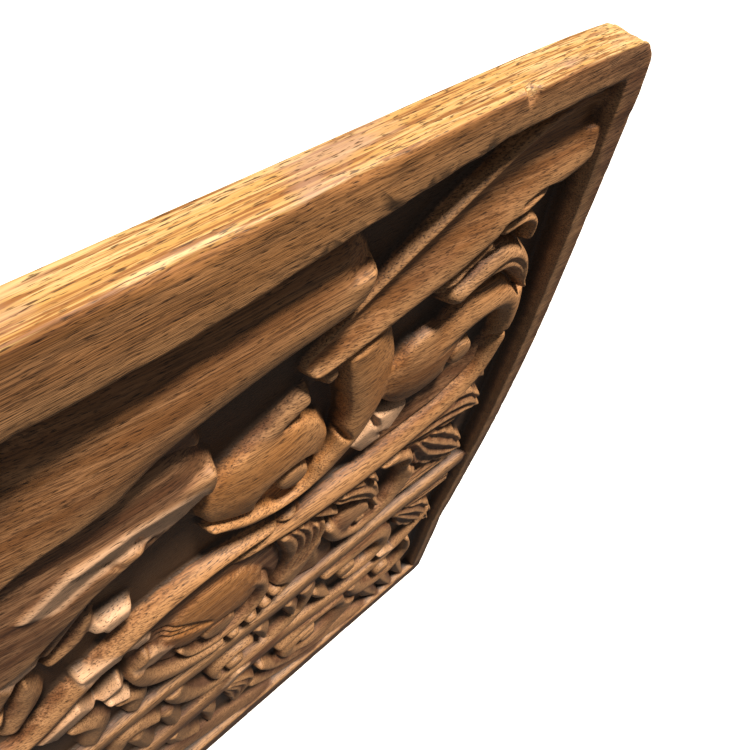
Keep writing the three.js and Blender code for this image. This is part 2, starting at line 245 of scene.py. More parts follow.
def cut(route, widths, crown, profile=ROUND, colour=0.0, trench=TRENCH, scallops=0):
    """Leave one band of carving standing along a route."""
    crowns = crown if isinstance(crown, (list, tuple)) else [crown, crown]
    window, t, q, inside = follow(route, widths, TRENCH + 0.05)
    if scallops:
        inside = inside - SCALLOP * np.sin(np.pi * scallops * t) ** 2
    if trench:
        beside = 1 - TRENCH_CUT * smooth(-trench, 0, inside) * stations(crowns, t)
        rise[window] = np.where(inside > -trench, rise[window] * beside, rise[window])
    wall = np.clip(inside / WALL, 0, 1) ** SWELL
    across_band = np.interp(np.clip(q, -1, 1), np.linspace(-1, 1, len(profile)), profile)
    leave(window, stations(crowns, t) * across_band * wall, colour)


def groove(route, widths, depth):
    """Score a line into what stands along a route."""
    window, t, q, inside = follow(route, widths, 0.02)
    rise[window] -= depth * np.clip(1 - q * q, 0, 1) * (inside > 0)


def hollow(route, widths, level):
    """Sink what stands along a route down to a level, between steep walls."""
    window, t, q, inside = follow(route, widths, 0.02)
    rise[window] = np.minimum(rise[window], level + (OVER_ALL - level) * (1 - smooth(0, HOLLOW_WALL, inside)))


def sink(centre, radius, level):
    """Drill a round hollow down to a level."""
    hollow([centre, (centre[0] + SHORTEST, centre[1])], [2 * radius, 2 * radius], level)


def circle(centre, reach):
    """The window round a place, and each cell's distance from it."""
    window = window_of(np.array(centre) - reach, np.array(centre) + reach)
    return window, np.hypot(left[window] - centre[0], down[window] - centre[1])


def eye(centre, radius, crown, colour=0.0, ring=0.14):
    """The round boss at the heart of a volute, with a groove cut round it."""
    window, away = circle(centre, radius + ring)
    rise[window] *= 1 - EYE_CUT * smooth(radius + ring, radius, away)
    dome = crown * (EYE_FOOT + EYE_DOME * np.sqrt(np.clip(1 - (away / radius) ** 2, 0, 1)))
    leave(window, dome * np.clip((radius - away) / WALL, 0, 1) ** SWELL, colour)


def mound(centre, radii, crown, turn=0.0, colour=0.0, foot=0.55, trench=0.0):
    """An oval swelling of wood, such as the body of a volute."""
    window, _ = circle(centre, max(radii) + TRENCH)
    x, y = left[window] - centre[0], down[window] - centre[1]
    c, s = math.cos(math.radians(turn)), math.sin(math.radians(turn))
    away = np.hypot((x * c - y * s) / radii[0], (x * s + y * c) / radii[1])
    inside = (1 - away) * min(radii)
    if trench:
        rise[window] *= 1 - TRENCH_CUT * smooth(-trench, 0, inside)
    dome = crown * (foot + (1 - foot) * np.clip(1 - away ** 2, 0, 1) ** MOUND_ROUND)
    leave(window, dome * np.clip(inside / WALL, 0, 1) ** SWELL, colour)


def splinter(corners, bare=1.0, colour=0.0):
    """A flat facet where wood split away, through the left, down and height of its corners."""
    spots = np.array(corners, float)
    window = window_of(spots[:, :2].min(axis=0), spots[:, :2].max(axis=0))
    x, y = left[window], down[window]
    slope = np.linalg.lstsq(np.c_[spots[:, :2], np.ones(len(spots))], spots[:, 2], rcond=None)[0]
    within = np.ones(x.shape, bool)
    turns = spots[1:3, :2] - spots[:2, :2]
    hand = np.sign(turns[0][0] * turns[1][1] - turns[0][1] * turns[1][0])
    for start, end in zip(spots, np.roll(spots, -1, axis=0)):
        edge = (end[0] - start[0]) * (y - start[1]) - (end[1] - start[1]) * (x - start[0])
        within &= edge * hand >= 0
    plane = slope[0] * x + slope[1] * y + slope[2]
    rise[window] = np.where(within, plane, rise[window])
    tone_and_painted_light[window] = np.where(within, colour, tone_and_painted_light[window])
    fresh[window] = np.where(within, bare, fresh[window])


mound((14.4, 5.4), (3.4, 2.3), 0.5, turn=-18, colour=-0.6, foot=0.75)
cut([(17.9, 10.8), (17.1, 8.2), (15.8, 6.0), (14.3, 4.4), (12.6, 3.2), (10.4, 2.65), (7.95, 2.5)],
    [0.8, 1.6, 2.3, 2.8, 2.7, 2.5, 2.0], [0.75, 0.85, 0.92, 0.94, 0.92],
    ROLLED, colour=0.35, trench=0)
cut([(17.7, 10.4), (16.6, 8.2), (14.9, 6.6), (13.2, 5.95), (12.15, 5.85)],
    [0.5, 1.5, 2.3, 2.5, 2.2], [0.7, 0.8, 0.9, 0.92],
    (0.42, 0.66, 0.78, 0.88, 0.95, 1.0), colour=-0.15)
cut([(16.0, 9.3), (14.6, 7.9), (13.1, 7.25), (12.1, 6.95)], [0.3, 0.9, 1.1, 0.9], 0.62, colour=-0.5,
    trench=0)
for edge in (
    ((15.6, 6.75, 0.84), (14.4, 6.05, 0.9), (14.1, 6.85, 0.7), (15.0, 7.25, 0.66)),
    ((14.4, 6.05, 0.93), (13.2, 5.95, 0.93), (13.3, 6.85, 0.66), (14.1, 6.85, 0.7)),
    ((13.2, 5.95, 0.9), (11.45, 6.15, 0.88), (11.5, 6.75, 0.7), (12.3, 7.2, 0.56), (13.3, 6.85, 0.6)),
):
    splinter(edge)
for crack in (((14.3, 6.3), (13.9, 6.6), (13.6, 7.1)), ((13.0, 6.5), (13.1, 6.9), (12.7, 7.3))):
    groove(crack, [0.06, 0.12, 0.05], 0.25)

cut([(11.2, 6.9), (9.9, 6.3), (7.6, 5.2)], [0.6, 0.6, 0.6], 0.62, (0.3, 0.75, 0.95, 1.0, 0.8),
    colour=-0.4)
mound((9.95, 7.85), (1.9, 1.65), 0.96, turn=-8, colour=0.95, foot=0.5)
cut([(7.0, 4.7), (6.85, 6.3), (7.0, 7.8), (7.85, 9.15), (9.2, 9.85), (10.6, 9.65), (11.7, 8.7)],
    [1.5, 1.8, 1.6, 1.15, 0.95, 0.8, 0.4], [0.74, 0.9, 1.0, 0.96, 0.9, 0.85],
    (0.5, 0.72, 0.88, 0.97, 1.0, 0.96, 0.8), colour=0.9)
hollow([(8.45, 5.3), (8.25, 6.6), (8.0, 7.7), (7.6, 8.6)], [0.55, 0.55, 0.45, 0.12], 0.08)
sink((9.5, 8.85), 1.02, 0.32)
eye((9.35, 8.75), 0.56, 0.84, colour=0.2)

cut([(8.35, 4.75), (6.4, 3.85), (4.2, 2.9), (2.5, 2.2), (1.35, 1.95)], [0.8, 1.5, 2.05, 2.3, 2.2],
    [0.76, 0.86, 0.97, 1.0, 1.0], BLADE, colour=0.35)
for curl, curl_widths in (
    ([(3.0, 3.75), (4.0, 4.3), (5.1, 4.6)], [0.5, 0.7, 0.15]),
    ([(3.3, 4.2), (4.2, 4.7), (5.0, 4.95)], [0.3, 0.45, 0.1]),
    ([(3.2, 3.7), (2.5, 3.7), (2.0, 4.05), (2.05, 4.6), (2.5, 4.75)], [0.5, 0.45, 0.45, 0.4, 0.25]),
):
    cut(curl, curl_widths, 0.9, colour=0.2)
for vein in (0.0, 0.32):
    groove([(2.9, 3.1 + vein), (2.2, 2.95 + vein), (1.6, 3.1 + vein)], [0.08, 0.16, 0.08], 0.35)


# ---------------------------------------------------------------------------------------------
# Corner volutes: the end of the main stem rolls up in each top corner, with a strap leaf bent
# over its shoulder and a deep hollow beside its eye.
# ---------------------------------------------------------------------------------------------
SCROLL = (0.5, 0.8, 0.96, 1.0, 0.93, 0.8, 0.64, 0.45)
SCOOP = (0.12, 0.4, 0.7, 1.0, 1.0)


def mirrored(route):
    """The same route on the other side of the board's middle."""
    return [(COLUMNS - place[0], place[1]) for place in route]


def as_drawn(route):
    """The route where it is drawn, towards the right."""
    return route


for place in (as_drawn, mirrored):
    hollow(place([(2.9, 7.9), (2.45, 8.3), (2.4, 9.3), (3.2, 10.0), (5.4, 10.6)]),
           [0.7, 1.3, 1.4, 1.2, 0.6], 0.05)
    cut(place([(5.0, 7.3), (3.7, 6.65), (2.6, 6.5), (1.65, 7.0), (1.3, 8.2), (1.5, 9.7)]),
        [1.2, 1.4, 1.4, 1.3, 1.15, 1.0], [0.97, 1.0, 0.98, 0.93],
        SCROLL[::-1] if place is as_drawn else SCROLL, colour=0.5)
    mound(place([(4.75, 7.75)])[0], (1.65, 1.5), 0.98, colour=0.4, foot=0.5)
    cut(place([(1.9, 9.3), (2.7, 10.3), (4.2, 10.9), (6.2, 11.4)]), [0.6, 1.3, 1.4, 0.6], 0.74,
        SCOOP[::-1] if place is as_drawn else SCOOP, colour=-0.4, trench=0)
    eye(place([(3.45, 8.2)])[0], 0.55, 0.88, colour=0.2)
    cut(place([(4.3, 5.2), (3.0, 4.85), (1.95, 5.5), (1.3, 6.8)]), [0.8, 1.1, 0.9, 0.3], 0.98)
    for vein in (0.0, 0.35):
        groove(place([(4.1, 5.6 - vein), (2.8, 5.25 - vein), (1.9, 5.9 - vein), (1.4, 6.9 - vein)]),
               [0.06, 0.12, 0.08], 0.3)


# ---------------------------------------------------------------------------------------------
# Second stem, beside the main one, and the splintered leaf ends on the dark ground between them.
# ---------------------------------------------------------------------------------------------
RIDGE = (0.5, 0.76, 1.0, 0.76, 0.5)

cut([(21.6, 12.3), (18.8, 13.8), (16.2, 12.5), (14.0, 11.45), (12.2, 11.05), (10.9, 11.15), (9.9, 11.5)],
    [0.9, 1.2, 1.0, 1.05, 1.05, 0.7, 0.2], 0.9, (0.3, 0.75, 1.0, 0.9, 0.8, 0.5), colour=0.6)
for stump in (
    ((7.35, 9.9, 0.5), (6.5, 9.25, 0.62), (6.05, 10.45, 0.66), (6.9, 10.75, 0.5)),
    ((6.45, 8.9, 0.66), (5.0, 9.55, 0.5), (5.9, 10.3, 0.72), (6.3, 9.9, 0.72)),
    ((15.4, 9.35, 0.6), (14.9, 8.85, 0.66), (14.8, 9.9, 0.72), (15.1, 10.15, 0.6)),
    ((14.75, 9.55, 0.72), (14.0, 9.75, 0.6), (14.2, 10.3, 0.66), (15.0, 10.3, 0.7)),
    ((17.0, 9.15, 0.6), (16.2, 8.85, 0.66), (16.1, 9.35, 0.62), (16.8, 9.75, 0.5)),
    ((16.3, 11.85, 0.8), (15.1, 11.75, 0.86), (15.1, 12.6, 0.7), (16.2, 12.75, 0.66)),
    ((14.95, 11.9, 0.84), (14.3, 11.9, 0.84), (14.3, 12.65, 0.7), (14.9, 12.7, 0.7)),
):
    splinter(stump, bare=0.85)
cut([(16.2, 10.1), (15.4, 9.7), (14.9, 9.1)], [0.3, 0.7, 0.4], 0.6, RIDGE, colour=-0.3)
cut([(17.9, 12.1), (17.1, 11.1), (16.7, 9.9)], [0.8, 0.9, 0.2], 0.72, RIDGE)


# ---------------------------------------------------------------------------------------------
# Second tier: a great volute with a beaded rim and engraved leaves, and a lesser one that holds
# a drooping leaf over a deep hollow.
# ---------------------------------------------------------------------------------------------
STRAP = (0.8, 0.98, 1.0, 0.98, 0.8)
GREAT = (12.8, 16.0)
LESSER = (6.7, 16.3)
TURN_POINTS = 10                 # the points in a full turn of a spiral


def spiral(centre, radii, start, turns):
    """A route round a centre, anticlockwise for positive turns, from a start angle in degrees."""
    count = max(4, int(abs(turns) * TURN_POINTS) + 1)
    angles = np.radians(start + 360 * turns * np.linspace(0, 1, count))
    reach = stations(radii, np.linspace(0, 1, count))
    return [(centre[0] - r * math.cos(a), centre[1] - r * math.sin(a)) for r, a in zip(reach, angles)]


mound((12.6, 14.8), [2.9, 2.9], 0.5, colour=-0.2, foot=0.8)
cut([(9.5, 12.1), (9.1, 13.8), (9.2, 15.2), (10.0, 16.6), (11.2, 17.6), (12.8, 17.95), (14.3, 17.4),
     (15.2, 16.2), (15.4, 14.8), (14.8, 13.6)], [1.4, 1.8, 1.7, 1.3, 0.9, 0.8, 0.8, 0.8, 0.7, 0.3], 0.94,
    STRAP)
for lane in (0.5, 0.2, -0.1, -0.4):
    groove([(9.6 + 0.7 * lane, 11.9), (8.95 + lane, 13.3), (9.05 + lane, 14.6),
            (9.8 + lane, 15.9 + 0.4 * lane)],
           [0.1, 0.17, 0.15, 0.05], 0.34)
cut(spiral(GREAT, [1.35, 1.45, 1.75, 2.3], 175, 0.72), [0.4, 0.6, 0.7, 0.9], 0.84, SCROLL[::-1], colour=0.2)
mound((12.6, 14.4), [1.8, 1.95], 0.95, turn=20, colour=0.95, foot=0.6)
sink((GREAT[0], GREAT[1] + 0.05), 0.98, 0.4)
eye(GREAT, 0.72, 0.9, colour=0.2)
for bead in range(4):
    angle = math.radians(-84 + 19 * bead)
    eye((GREAT[0] - 2.45 * math.cos(angle), GREAT[1] - 2.1 * math.sin(angle)), 0.33, 0.98, ring=0.12)
for vein in range(3):
    groove([(14.3, 12.9 + 0.35 * vein), (13.4, 13.7 + 0.28 * vein), (12.9, 14.5 + 0.1 * vein)],
           [0.08, 0.16, 0.05], 0.3)
splinter([(15.5, 14.3, 0.8), (14.5, 13.6, 0.86), (14.1, 14.6, 0.8), (14.9, 15.0, 0.7)], bare=0.4)

cut([(8.1, 15.0), (7.7, 16.4), (6.7, 17.2), (5.5, 17.0), (4.5, 15.9), (4.3, 14.4), (5.1, 13.1),
     (6.8, 12.2)], [0.6, 1.0, 1.1, 1.2, 1.3, 1.2, 1.2, 0.8], 0.95, (0.5, 0.9, 1.0, 0.9, 0.6), colour=0.2)
mound((6.9, 15.9), [1.35, 1.3], 0.9)
sink((5.3, 14.0), 0.7, 0.05)
eye(LESSER, 0.36, 0.85, ring=0.25)
cut([(8.7, 12.1), (7.4, 12.9), (6.5, 13.9), (6.0, 15.1)], [0.6, 1.1, 1.15, 0.6], 1.0,
    (0.5, 0.9, 0.66, 1.0, 0.62, 0.95, 0.5))
cut([(8.9, 12.3), (8.2, 13.3), (7.8, 13.9)], [0.5, 0.7, 0.4], 0.88, RIDGE)
cut([(7.5, 12.0), (6.5, 12.6), (6.1, 13.5)], [0.4, 0.6, 0.4], 1.0, RIDGE)
cut([(6.1, 15.3), (5.8, 16.3)], [0.25, 0.5], 0.9, RIDGE, colour=0.4)
cut([(8.7, 18.6), (8.7, 16.4)], [2.1, 0.2], 0.55, RIDGE)
splinter([(18.2, 14.1, 0.86), (16.8, 13.6, 0.9), (16.6, 14.7, 0.7), (18.1, 15.3, 0.66)], bare=0.6)
splinter([(16.6, 14.6, 0.8), (15.7, 14.1, 0.9), (15.8, 15.0, 0.72), (16.3, 15.2, 0.6)], bare=0.6)
splinter([(16.7, 15.5, 0.8), (16.4, 15.4, 0.84), (15.9, 16.2, 0.8), (16.2, 16.4, 0.7)])
cut([(17.9, 18.3), (17.3, 16.9), (17.7, 15.7)], [0.9, 1.1, 0.5], 0.8, RIDGE)
cut([(16.4, 18.3), (16.0, 17.2), (16.5, 16.4)], [0.8, 0.9, 0.4], 0.78, RIDGE)


# ---------------------------------------------------------------------------------------------
# Side leaves: fluted acanthus leaves that spill from the corner volutes down to the ledge.
# ---------------------------------------------------------------------------------------------
FLUTED = (0.5, 0.86, 0.5, 0.98, 0.58, 1.0, 0.52, 0.86, 0.45)

for place in (as_drawn, mirrored):
    cut(place([(5.4, 17.7), (3.5, 17.2), (1.3, 17.9)]), [0.6, 1.7, 0.6], 0.72, FLUTED, colour=0.1)
    cut(place([(4.1, 13.2), (3.1, 14.9), (1.9, 16.4), (0.8, 17.7)]), [0.8, 2.3, 2.0, 0.4], 0.86,
        FLUTED, scallops=4)
    cut(place([(3.5, 11.3), (1.9, 11.0), (1.1, 11.8)]), [0.9, 1.4, 0.3], 0.72, FLUTED)
    cut(place([(5.4, 12.2), (3.5, 12.4), (1.9, 13.0), (0.8, 14.0)]), [1.0, 2.2, 2.1, 0.4], 0.86,
        FLUTED, colour=-0.35, scallops=5)


# ---------------------------------------------------------------------------------------------
# Main stem: it lies over the leaves, and runs from the foot of each corner volute in to the
# middle, where it tapers out.
# ---------------------------------------------------------------------------------------------
STEM = [(1.4, 9.2), (1.9, 10.4), (3.0, 11.2), (4.8, 11.65), (6.8, 12.0), (9.0, 12.05), (10.4, 12.05),
        (11.7, 12.2)]
STEM_ACROSS = (0.6, 0.85, 0.97, 1.0, 0.9, 0.72, 0.45)
cut(STEM, [0.8, 0.95, 1.05, 1.1, 1.15, 1.0, 0.7, 0.15], [0.9, 0.97, 1.0, 1.0, 0.9, 0.6], STEM_ACROSS,
    colour=0.45)
cut(mirrored(STEM[:5]), [0.8, 0.95, 1.05, 1.1, 0.8], [0.9, 0.97, 0.9], STEM_ACROSS[::-1], colour=0.2)


# ---------------------------------------------------------------------------------------------
# Third tier: a level stem that runs from border to border like a ledge, and volutes, lobes and
# leaves in the narrow band below it.
# ---------------------------------------------------------------------------------------------
cut([(15.4, 19.9), (15.4, 21.8), (14.7, 23.3), (13.2, 24.0), (11.2, 23.9), (9.9, 23.1), (9.3, 21.6),
     (9.3, 19.9)], [1.0, 1.1, 1.1, 0.9, 0.9, 1.0, 1.4, 1.3], 0.84)
cut(spiral((13.0, 22.4), [1.0, 1.2, 1.5], 205, -0.6), [0.5, 0.6, 0.5], 0.9)
eye((13.1, 22.7), 0.5, 0.9)
for lobe in (11.6, 10.1):
    cut([(lobe, 22.5), (lobe - 0.1, 21.5), (lobe + 0.1, 20.4)], [0.5, 0.9, 0.8], 0.88, RIDGE)
sink((11.6, 23.3), 0.5, 0.08)
cut([(8.2, 21.0), (7.0, 21.0), (5.5, 21.1), (4.7, 22.1), (4.7, 23.4), (5.7, 24.1), (7.1, 23.6)],
    [0.7, 1.3, 1.4, 1.2, 1.0, 0.9, 0.7], 0.88, (0.45, 0.85, 1.0, 0.9, 0.6), colour=0.2)
eye((7.0, 22.7), 0.6, 0.82)
sink((5.8, 22.7), 0.55, 0.06)
cut([(8.8, 22.6), (8.5, 23.7), (8.0, 24.9)], [0.6, 0.8, 0.3], 0.8, RIDGE, colour=0.2)
cut([(18.1, 21.8), (17.4, 21.0), (16.5, 22.1)], [0.8, 1.0, 0.5], 0.8)
cut([(17.7, 24.9), (17.5, 22.4)], [0.9, 1.0], 0.78, RIDGE)
cut([(16.4, 24.9), (16.2, 22.6)], [0.9, 0.9], 0.78, RIDGE)
for place in (as_drawn, mirrored):
    cut(place([(3.5, 20.4), (2.0, 20.7), (0.9, 21.1)]), [1.0, 1.5, 0.8], 0.78, FLUTED, colour=-0.2)
    cut(place([(4.1, 20.6), (2.9, 22.4), (1.9, 24.3), (1.1, 26.1)]), [0.7, 2.2, 1.8, 0.3], 0.84,
        FLUTED, scallops=4)
cut([(26.0, 19.6), (18.8, 19.5), (14.0, 19.65), (9.1, 19.5), (4.2, 19.6), (-0.1, 19.5)],
    [1.5, 1.6, 1.2, 1.7, 1.2, 1.4], [0.84, 0.8, 0.72, 0.9, 0.76, 0.84],
    (0.84, 0.97, 1.0, 0.97, 0.86, 0.6), colour=-0.3)


# ---------------------------------------------------------------------------------------------
# Lowest tier: a stem that rises and dips, two volutes under it, and long stems that sweep down
# to the bottom rail.
# ---------------------------------------------------------------------------------------------
cut(spiral((9.1, 29.9), [2.9, 2.5, 2.0, 1.3], 130, -1.1), [0.9, 1.8, 1.7, 1.4, 0.7], 0.9,
    (0.5, 0.92, 1.0, 0.86, 0.5), colour=0.3)
eye((9.5, 29.6), 0.6, 0.9)
sink((8.7, 30.4), 0.45, 0.1)
cut([(6.5, 27.4), (5.9, 29.4), (4.5, 30.5), (3.1, 30.2), (2.3, 28.9), (2.5, 27.0)],
    [0.9, 1.4, 1.5, 1.2, 0.8, 0.5], 0.86, colour=0.1)
eye((4.2, 28.9), 0.6, 0.85)
cut([(13.4, 30.3), (12.4, 32.1), (10.7, 33.8), (8.3, 35.6)], [0.6, 1.5, 1.7, 0.9], 0.8, RIDGE)
cut([(12.3, 28.4), (11.6, 30.7), (10.1, 32.7), (7.9, 34.1), (5.0, 35.4)], [0.6, 1.2, 1.5, 1.5, 0.7], 0.88,
    (0.5, 0.8, 1.0, 0.9, 0.55), colour=0.3)
cut([(21.2, 30.2), (18.2, 31.1), (15.9, 32.8), (13.8, 34.5), (11.4, 35.8)], [0.7, 1.7, 1.8, 1.5, 0.7], 0.86,
    (0.5, 0.8, 1.0, 0.9, 0.55))
cut([(17.1, 27.4), (17.1, 29.2), (16.5, 30.7)], [0.9, 1.3, 0.6], 0.82, RIDGE)
cut([(14.0, 27.2), (13.6, 29.2), (14.3, 31.3)], [0.8, 1.8, 0.4], 0.84, FLUTED, colour=0.3)
cut([(15.5, 27.4), (15.4, 29.4), (15.8, 31.1)], [0.5, 0.9, 0.4], 0.7, RIDGE)
for place in (as_drawn, mirrored):
    cut(place([(5.4, 30.7), (4.8, 32.9), (3.9, 35.6)]), [0.7, 1.3, 0.6], 0.76, RIDGE)
    cut(place([(4.1, 31.1), (3.5, 33.3), (2.7, 35.8)]), [0.6, 1.2, 0.6], 0.84, RIDGE)
    cut(place([(2.9, 30.6), (2.4, 32.9), (1.7, 35.8)]), [0.6, 1.0, 0.5], 0.78, RIDGE)
cut([(26.0, 26.3), (19.8, 26.5), (15.5, 26.2), (12.6, 25.2), (9.7, 25.6), (6.8, 26.5), (4.1, 26.2),
     (2.5, 25.1), (1.5, 23.9)], [1.4, 1.6, 1.6, 1.9, 1.8, 1.7, 1.4, 0.9, 0.3], 0.84,
    (0.7, 0.93, 1.0, 0.9, 0.6), colour=0.1)
splinter([(14.3, 25.4, 0.84), (13.3, 24.4, 0.94), (12.6, 24.7, 0.9), (13.2, 26.1, 0.66)], bare=0.5)
splinter([(5.0, 24.9, 0.9), (4.4, 25.0, 0.92), (3.5, 26.1, 0.8), (4.6, 26.4, 0.66)], bare=0.4)


# ---------------------------------------------------------------------------------------------
# The plainer side: its own blade leaf and three volutes fill the left-hand edge.
# ---------------------------------------------------------------------------------------------
cut([(18.7, 4.3), (20.8, 3.1), (22.7, 2.4), (24.3, 1.9)], [0.5, 1.8, 2.3, 2.2], 0.95,
    (0.6, 0.9, 1.0, 0.86, 0.7, 0.6))
for centre, radii, start, turns in (
    ((21.1, 22.8), [2.4, 2.0, 1.3], 100, 0.9),
    ((21.0, 15.5), [2.3, 1.9, 1.2], 60, 0.95),
    ((20.6, 33.1), [2.0, 1.6, 1.0], 100, 0.8),
):
    cut(spiral(centre, radii, start, turns), [0.9, 1.3, 1.1, 0.7], 0.86, SCROLL[::-1])
    eye(centre, 0.6, 0.9)


# ---------------------------------------------------------------------------------------------
# Wear: the ground is rough from the punch, the carving keeps the soft facets of the gouge, and the
# arrises of the board are rounded, notched and rubbed bare, most of all at the corners. Painted light
# and painted shade are also laid into the colour of the wood here.
# ---------------------------------------------------------------------------------------------
def soften(values, reach):
    """The values blurred over a reach given in thicknesses, by three passes of a running mean."""
    size = max(1, int(round(reach / CELL_SHARE / 2)))
    for _ in range(3):
        for axis in (0, 1):
            pad = [(size + 1, size) if a == axis else (0, 0) for a in (0, 1)]
            total = np.cumsum(np.pad(values, pad, mode="edge"), axis=axis)
            upper = np.take(total, range(2 * size + 1, total.shape[axis]), axis=axis)
            lower = np.take(total, range(0, total.shape[axis] - 2 * size - 1), axis=axis)
            values = (upper - lower) / (2 * size + 1)
    return values


# The punch-marked ground. Its dark colour is partly its own and partly painted shade.
punched_and_shaded_ground = smooth(0.14, 0.04, rise)

# Painted light: a pool of it brightens the middle of the top rail. Painted shade darkens the right
# stile, the lower left of the carving and the bottom rail, and the wood is darker towards the lower tiers.
RAIL_LIGHT_FROM_RIGHT = 8.5
RAIL_LIGHT_REACH = 5.5
rail_light_pool = border * np.exp(-((left - RAIL_LIGHT_FROM_RIGHT) / RAIL_LIGHT_REACH) ** 2) * (down < 3)
# Painted light on the top rail, and painted shade on the face of the right stile.
tone_and_painted_light += 0.8 * rail_light_pool - 0.35 * border * (left < 1.5)
# Painted shade darkens the lower left of the carving, where the forms are finer and deeper.
tone_and_painted_light -= 0.5 * smooth(11, 17, left) * smooth(8, 14, down)
# Darker towards the lower tiers, with painted shade over the bottom rail.
tone_and_painted_light -= 0.7 * smooth(12, 20, down) + 0.3 * smooth(30, 35, down)

# The marks of the punch on the ground, and of the gouge on the carving.
PUNCH_DENTS, PUNCH_PITS = 0.035, 0.03
GOUGE_FACETS, GOUGE_LINES = 0.018, 0.006
CAVITY_SHADE_REACH = 0.9
RUBBED_SOFT = 0.035
rise = np.where(border > 0.02, np.maximum(rise * (1 - border), border), rise)
punch_marks = PUNCH_DENTS * noise(21, 0.3, 0.3, 2) + PUNCH_PITS * noise(23, 0.12, 0.12, 1)
gouge_marks = GOUGE_FACETS * noise(22, 1.6, 0.4, 2) + GOUGE_LINES * noise(24, 2.0, 0.08, 1)
rise += punched_and_shaded_ground * punch_marks
rise += (1 - punched_and_shaded_ground) * (1 - border) * gouge_marks
# Painted shade in hollows: how far each cell lies below the blurred carving round it. It darkens hollows,
# gaps and the recess beside the stiles, where shade falls.
painted_cavity_shade = np.clip(soften(rise, CAVITY_SHADE_REACH) - rise, -1, 1)
rise = soften(rise, RUBBED_SOFT)

# How far each cell lies beyond the outline along the surface. The rim takes one thickness, and
# what is past it turns in over the back.
core_left = np.clip(left, CORNER_RADIUS - bow, COLUMNS - CORNER_RADIUS + bow)
core_down = np.clip(down, CORNER_RADIUS, ROWS - CORNER_RADIUS)
off_left, off_down = left - core_left, down - core_down
beyond = np.maximum(np.abs(off_left), np.abs(off_down)) - CORNER_RADIUS
reach = np.maximum(np.hypot(off_left, off_down), 1e-9)

# How far wear has taken the wood in from the outline and down from the face. Each notch of the
# top edge has its place, width and depth.
ARRIS, TOP_ARRIS = 0.06, 0.05    # the rounding everywhere, and what the top edge adds to it
ARRIS_UNEVEN = 0.7
arris = (ARRIS + TOP_ARRIS * smooth(3, 8, left) * (down < 2)) * (1 + ARRIS_UNEVEN * noise(31, 2.2, 2.2))
NOTCHES = ((3.9, 0.16, 0.3), (7.7, 0.5, 0.16), (10.6, 0.9, 0.2), (15.2, 0.4, 0.2))
for notch, notch_width, notch_depth in NOTCHES:
    arris += notch_depth * np.exp(-((left - notch) / notch_width) ** 2) * (down < 1)
WORN_AWAY = 0.34                 # wear takes this share of the rounding at the arris itself
WORN_ONTO_FACE = 1.4             # and reaches this many times as far over the face as down the rim
worn = WORN_AWAY * arris * np.where(
    beyond < 0, np.clip((beyond + WORN_ONTO_FACE * arris) / (WORN_ONTO_FACE * arris), 0, 1) ** 2,
    np.clip(1 - beyond / arris, 0, 1) ** 2)
BACK_ARRIS = 0.03
back_arris = BACK_ARRIS * smooth(0.9, 1.0, beyond)
fibres = (0.006 + 0.012 * (1 + noise(33, 5.0, 0.1))) * smooth(0.0, 0.1, beyond)
near_edge = smooth(-0.5, 0, beyond)
DENT_DEPTH, DENT_REACH = 0.12, 1.3
dent = DENT_DEPTH * np.exp(-((down - BOW_END) / DENT_REACH) ** 2) * (left < 2) * near_edge
OVER_THE_BACK = 0.4
inward = np.minimum(beyond, 0) - OVER_THE_BACK * np.clip(beyond - 1, 0, 1)
run_out = inward + CORNER_RADIUS - worn - back_arris - fibres - dent
inside_core = (off_left == 0) & (off_down == 0)
place_left = np.where(inside_core, left, core_left + off_left / reach * run_out)
place_down = np.where(inside_core, down, core_down + off_down / reach * run_out)
CORNER_DROP, DROP_REACH = 0.2, 1.6
place_down += CORNER_DROP * np.exp(-np.abs(left) / DROP_REACH) * smooth(1.8, 0.0, down) * near_edge

# The face is dressed a hair below the sawn board, and the top rail leans back to its outer edge.
FACE_INSET = 0.003
RAIL_LEAN = 0.07
LEAN_WIDTH = 1.3
sunk = GROUND_DEPTH * (1 - np.clip(rise, 0, 1)) * (beyond < 0)
from_face = FACE_INSET + RAIL_LEAN * np.clip(1 - down / LEAN_WIDTH, 0, 1) + worn * (beyond < 0)
from_face += np.clip(beyond + worn * (beyond >= 0), 0, 1)
face_y = np.minimum(low.y + sunk + THICK * from_face, high.y)
face_x = RIGHT - place_left * THICK
face_z = high.z - place_down * THICK

board = bmesh.new()
bmesh.ops.create_grid(board, x_segments=across, y_segments=upward, size=0.5)
panel_mesh = bpy.data.meshes.new("carved_panel_teak")
board.to_mesh(panel_mesh)
spots = np.empty(len(panel_mesh.vertices) * 3)
panel_mesh.vertices.foreach_get("co", spots)
spots = spots.reshape(-1, 3)
column = np.rint((spots[:, 0] + 0.5) * across).astype(int)
row = np.rint((spots[:, 1] + 0.5) * upward).astype(int)
moved = np.column_stack([values[row, column] for values in (face_x, face_y, face_z)])
panel_mesh.vertices.foreach_set("co", moved.ravel())
on_face = beyond < 0
for name, values in (
    ("tone_and_painted_light", soften(np.clip(tone_and_painted_light, -1, 1), 0.25)),
    ("painted_cavity_shade", np.clip(painted_cavity_shade, 0, 1)),
    # Raised edges: worn paler, with a painted highlight, and the painted light on the top rail added.
    ("rubbed_and_painted_highlight", np.maximum(smooth(0.0, 0.25, -painted_cavity_shade), 0.45 * rail_light_pool) * on_face),
    ("punched_and_shaded_ground", punched_and_shaded_ground * (1 - border) * on_face),
    ("fresh", soften(fresh, 0.05)),
    ("rim", smooth(-0.03, 0.02, beyond + 0.06 * noise(35, 1.4, 0.5))),
):
    layer = panel_mesh.attributes.new(name, "FLOAT", "POINT")
    layer.data.foreach_set("value", values[row, column].astype(np.float32))
board.clear()
board.from_mesh(panel_mesh)
bmesh.ops.holes_fill(board, edges=[e for e in board.edges if e.is_boundary], sides=0)
